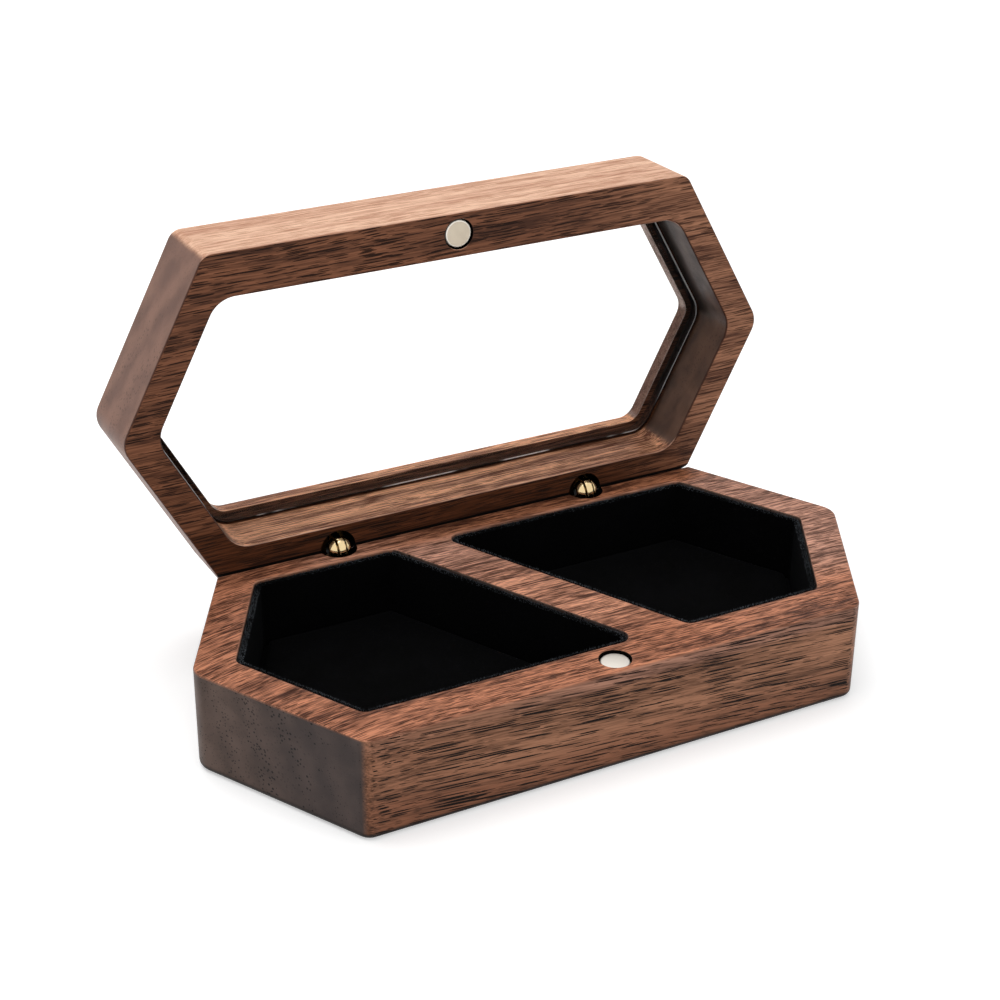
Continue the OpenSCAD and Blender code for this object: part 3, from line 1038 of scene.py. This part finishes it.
def make_magnets(nickel, shaded_nickel):
    """Two discs; the lid's has painted shade on its flat faces and stays bright on its broken edge."""
    bevel, face_radius = MAGNET_BEVEL, MAGNET_RADIUS - MAGNET_BEVEL
    profile = [(0, 0), *arc((face_radius, bevel), bevel, -90, 0, 4),
               *arc((face_radius, MAGNET_THICKNESS - bevel), bevel, 0, 90, 4), (0, MAGNET_THICKNESS)]
    low = BASE_HEIGHT - MAGNET_RECESS - MAGNET_THICKNESS
    disc = place(lathe(profile, MAGNET_STEPS), Matrix.Translation((0, MAGNET_Y, low)))
    base_disc = put_down(disc, "base_magnet_disc")
    finish_piece(base_disc, "base", ["base_magnet"], [nickel])
    shut = Matrix.Translation((0, MAGNET_Y, LID_RIM + LID_MAGNET_RECESS))
    disc = lathe(profile, MAGNET_STEPS)
    bmesh.ops.recalc_face_normals(disc, faces=disc.faces)
    disc.normal_update()
    for face in disc.faces:
        face.material_index = int(abs(face.normal.z) > 0.99)
    lid_disc = put_down(place(disc, opened() @ shut), "lid_magnet_disc")
    finish_piece(lid_disc, "lid", ["lid_magnet"], [nickel, shaded_nickel])


def leaf(low_x, high_x):
    """One leaf of a hinge: a slice of a round post with a ball end, its arrises broken."""
    profile = [(0, -LEAF_END), (KNUCKLE_RADIUS, -LEAF_END), *arc((0, 0), KNUCKLE_RADIUS, 0, 90, 16)]
    bm = lathe(profile, LEAF_STEPS)
    for x, way in ((low_x, -1), (high_x, 1)):
        arris = slice_off(bm, (x, 0, 0), (way, 0, 0)).edges[:]
        bmesh.ops.bevel(
            bm, geom=arris, offset=LEAF_EDGE, segments=3, profile=0.5, affect="EDGES", material=-1)
    return bm


def pivot_cast():
    reach = 2 * KNUCKLE_RADIUS
    profile = [(0, -reach), (PIVOT_HOLE_RADIUS, -reach), (PIVOT_HOLE_RADIUS, reach), (0, reach)]
    return place(lathe(profile, PIVOT_HOLE_STEPS), Matrix.Rotation(math.pi / 2, 4, "Y"))


def make_hinge(side, brass):
    name = side_name(side)
    at_axis = Matrix.Translation((side * HINGE_X, HINGE_Y, HINGE_Z))
    start = MIDDLE_LEAF / 2 + LEAF_GAP
    for end, way in (("inner", -side), ("outer", side)):
        slab = sorted((way * (start + LEAF_RELIEF), way * (start + OUTER_LEAF)))
        piece = put_down(leaf(*slab), f"{name}_{end}_leaf")
        carve(piece, [pivot_cast()])
        piece.data.transform(at_axis)
        finish_piece(piece, "base", [name + "_outer_leaves"], [brass], 30)
    half = MIDDLE_LEAF / 2 - LEAF_RELIEF
    middle = put_down(leaf(-half, half), name + "_lid_leaf")
    carve(middle, [pivot_cast()])
    middle.data.transform(opened() @ at_axis @ Matrix.Rotation(math.pi, 4, "X"))
    finish_piece(middle, "lid", [name + "_middle_leaf"], [brass], 30)


def dress(node, material):
    mesh = frame["nodes"][node].data
    mesh.materials.clear()
    mesh.materials.append(material)


# Studio

def make_studio():
    scene = bpy.context.scene
    scene.view_settings.view_transform = "Standard"
    world = bpy.data.worlds.new("studio")
    world.use_nodes = True
    scene.world = world
    g = Graph(world.node_tree)
    around = g.spread(g.seen(), 0.0, 1.0, 0.5, 1.0, smooth=False)
    g.finish(g.add("Background", {"Color": (1, 1, 1, 1), "Strength": around}), "OutputWorld")

    bm = bmesh.new()
    bmesh.ops.create_grid(bm, x_segments=1, y_segments=1, size=3000)
    floor = put_down(bm, "studio_floor")
    floor.data.transform(Matrix.Scale(MM, 4))
    floor.data.materials.append(studio_white("studio_floor", colour=(0.94, 0.94, 0.94, 1), glow=0.42))

    for name, spot, size, watts, reflected in (
            ("overhead_softbox", (-0.10, 0.15, 0.75), 0.55, 2.6, True),
            ("front_fill", (0.45, -0.8, 0.35), 0.6, 1.4, False)):
        lamp = bpy.data.lights.new(name, "AREA")
        lamp.shape = "SQUARE"
        lamp.size = size
        lamp.energy = watts
        lamp_object = bpy.data.objects.new(name, lamp)
        lamp_object.location = spot
        lamp_object.rotation_euler = (-Vector(spot)).to_track_quat("-Z", "Y").to_euler()
        lamp_object.visible_glossy = reflected
        scene.collection.objects.link(lamp_object)


def make_camera():
    """The photograph's viewpoint: direction, roll, distance and aim, in millimetres from the origin."""
    azimuth, elevation, roll = (math.radians(a) for a in (-27.904, 27.492, 0.602))
    distance, aim_right, aim_up = 347.0, -6.09, 29.71
    back = Vector((math.sin(azimuth) * math.cos(elevation),
                   -math.cos(azimuth) * math.cos(elevation), math.sin(elevation)))
    right = Vector((math.cos(azimuth), math.sin(azimuth), 0))
    up = back.cross(right)
    spot = back * distance + right * aim_right + up * aim_up
    turned_right = right * math.cos(roll) + up * math.sin(roll)
    turned_up = up * math.cos(roll) - right * math.sin(roll)
    data = bpy.data.cameras.new("camera")
    data.sensor_width = 36.0
    data.lens = 73.93
    data.clip_start, data.clip_end = 0.01, 20.0
    camera = bpy.data.objects.new("camera", data)
    matrix = Matrix((turned_right, turned_up, back)).transposed().to_4x4()
    matrix.translation = spot * MM
    camera.matrix_world = matrix
    bpy.context.scene.collection.objects.link(camera)
    bpy.context.scene.camera = camera


def base_walnut():
    tones = [
        Tone((104, 69, 49), (174, 123, 94), (17, 8, 5), 1.0),
        Tone((78, 50, 36), (144, 94, 69), (16, 8, 5), 1.0, lower_front),
        Tone((108, 75, 61), (182, 133, 111), (38, 22, 17), 1.0, upper_front_sheen),
        # Painted light: faces that look up take a lighter, redder tone for the overhead light that falls on
        # them.
        Tone((76, 42, 29), (215, 142, 107), (50, 26, 18), 0.8, upward),
        Tone((82, 46, 31), (235, 165, 131), (62, 34, 24), 0.75, base_middle),
        Tone((92, 57, 42), (230, 170, 144), (70, 42, 32), 0.75, base_rear),
        Tone((64, 33, 20), (192, 122, 84), (50, 25, 15), 0.8, rear_rail_shade),
        Tone((62, 52, 50), (80, 67, 63), (18, 13, 11), 1.0, endwise, end_grain=True),
        Tone((78, 62, 55), (104, 85, 76), (24, 17, 14), 1.0, tip_end, end_grain=True),
        Tone((124, 80, 61), (186, 132, 107), (96, 60, 46), 0.3, base_edge_highlight),
        Tone((11, 8, 6), (22, 16, 12), (8, 6, 5), 0.3, joint_line, matt=True),
        Tone((20, 13, 9), (34, 22, 16), (12, 8, 6), 0.9, bottom_arris_shadow)]
    return walnut(
        "walnut_base", tones, turn=(-0.08, 0.03), bend=0.006, sway=1.3, pith=(70, -22), vessel=(24.0, 0.41))


def lid_walnut():
    tones = [
        Tone((73, 43, 29), (141, 91, 65), (28, 15, 10), 0.9),
        Tone((94, 58, 41), (178, 125, 95), (48, 27, 19), 0.8, right_half),
        Tone((40, 21, 12), (96, 55, 34), (20, 10, 6), 0.75, hinge_rail_shade),
        # Painted light: faces that look up when the lid is open take a much lighter tone for the overhead
        # light on them.
        Tone((106, 57, 36), (255, 186, 142), (78, 41, 27), 0.8, upward),
        Tone((200, 144, 114), (248, 202, 170), (164, 112, 86), 0.55, lit_lid_front_edge),
        Tone((116, 85, 73), (146, 109, 93), (84, 62, 54), 0.5, endwise, end_grain=True),
        # Painted shade and sheen: end grain inside the window is darker and greyer than the outer end grain.
        Tone((74, 60, 54), (122, 102, 94), (36, 24, 20), 0.3, window_end, end_grain=True),
        Tone((72, 49, 37), (112, 80, 62), (36, 24, 20), 0.3, window_low_end, end_grain=True),
        Tone((7, 5, 4), (16, 11, 9), (5, 4, 3), 0.3, window_depth, matt=True),
        Tone((26, 14, 8), (74, 45, 31), (14, 8, 6), 0.5, pane_seat_shade),
        Tone((40, 22, 14), (132, 84, 60), (18, 10, 7), 0.6, low_pane_seat),
        # Painted light and sheen: the lip's end grain beyond the pane is a much paler, greyer copy of the end
        # grain.
        Tone((140, 118, 109), (216, 196, 186), (100, 80, 72), 0.4, lip_end),
        Tone((84, 58, 46), (134, 100, 85), (60, 40, 32), 0.4, lip_low_end),
        Tone((46, 22, 15), (76, 40, 29), (30, 16, 11), 0.3, lid_side_edge_shade),
        Tone((176, 124, 100), (230, 184, 158), (150, 104, 82), 0.3, lid_edge_highlight),
        Tone((11, 8, 6), (22, 16, 12), (8, 6, 5), 0.3, joint_line, matt=True)]
    return walnut(
        "walnut_lid", tones, turn=(0.02, 0.0), bend=0.0, sway=2.2, pith=(-52, 20), vessel=(12.0, 0.4))


def build():
    make_camera()
    hole_shade = hole_shade_walnut()
    make_base(base_walnut(), hole_shade)
    make_lid(lid_walnut(), hole_shade)
    make_pane(clear_acrylic(), pane_edge_glint(), pane_side_shade())
    velvet = velvet_pile("black_velvet", srgb(1, 1, 1), srgb(5, 5, 6), sheen=0.006)
    # Painted sheen: the nap is a lighter, greyer copy of the velvet's colour, for the light its tufts catch.
    nap = velvet_pile("velvet_edge_nap", srgb(12, 13, 15), srgb(120, 126, 132), sheen=0.2)
    brass = metal("polished_brass", srgb(240, 214, 164), roughness=0.12, grain=0.05)
    for side in (-1, 1):
        make_wall_liner(side, velvet, nap)
        make_floor_pad(side, velvet)
        make_hinge(side, brass)
    nickel = metal("nickel_plate", srgb(236, 230, 220), roughness=0.42, grain=0.05)
    shaded_nickel = metal("shaded_nickel_plate", srgb(201, 189, 170), roughness=0.42, grain=0.05)
    make_magnets(nickel, shaded_nickel)
    # Painted shade: the barrels deep in their holes take a much darker copy of the brass.
    shaded_barrel_brass = metal("shaded_turned_brass", srgb(92, 70, 38), roughness=0.5, grain=0.1)
    steel = metal("pin_steel", srgb(196, 198, 200), roughness=0.25, grain=0.08)
    card = grey_card()
    for name in ("left", "right"):
        dress(name + "_floor_card", card)
        for barrel in ("_base_barrel", "_lid_barrel"):
            dress(name + barrel, shaded_barrel_brass)
        for pin in ("_pivot_pin", "_base_leaf_pin", "_lid_leaf_pin"):
            dress(name + pin, steel)
    make_studio()


build()
